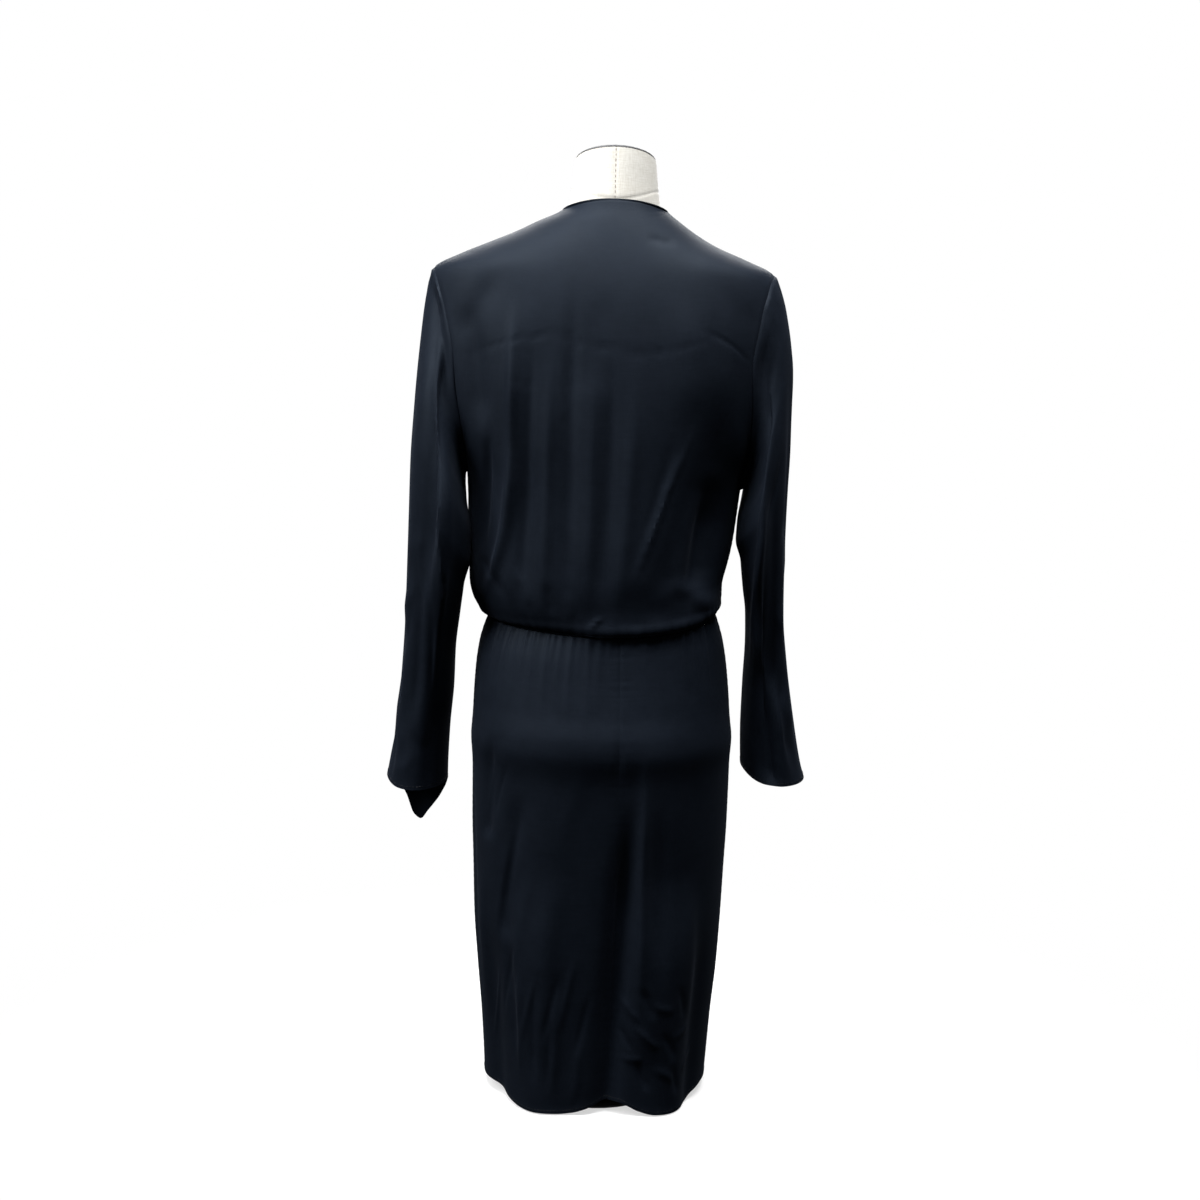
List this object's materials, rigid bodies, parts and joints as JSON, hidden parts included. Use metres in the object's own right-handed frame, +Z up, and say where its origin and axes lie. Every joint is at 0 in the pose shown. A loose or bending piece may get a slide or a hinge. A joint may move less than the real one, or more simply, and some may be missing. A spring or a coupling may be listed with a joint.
{
  "type": "wrap dress on dress form",
  "caption": "Long-sleeved crossover dress with a bloused bodice and a gathered elastic waist, worn loose by a limbless linen dress form on a short pole and a round foot.",
  "frame": {"origin": "centre of the underside of the form's round foot", "axes": "+Z up, the dress faces -Y, +X is the wearer's left"},
  "size_m": [0.5112, 0.2564, 1.1294],
  "materials": {
    "crepe": "navy-black crepe with a dull sheen",
    "binding": "the same crepe, cut on the bias and rolled",
    "linen": "plain cream linen, stretched over the form",
    "cap": "matt dark grey",
    "steel": "satin dark grey paint"
  },
  "bodies": {
    "root": {"bodice_back": "crepe", "bodice_front_left": "crepe", "bodice_front_right": "crepe", "sleeve_left": "crepe", "sleeve_right": "crepe", "neck_band": "binding", "waist_casing": "crepe", "skirt_back_left": "crepe", "skirt_back_right": "crepe", "skirt_front_left": "crepe", "skirt_front_right": "crepe", "form_torso": "linen", "form_neck_cap": "cap", "form_pole": "steel", "form_base": "steel"}
  },
  "joints": []
}
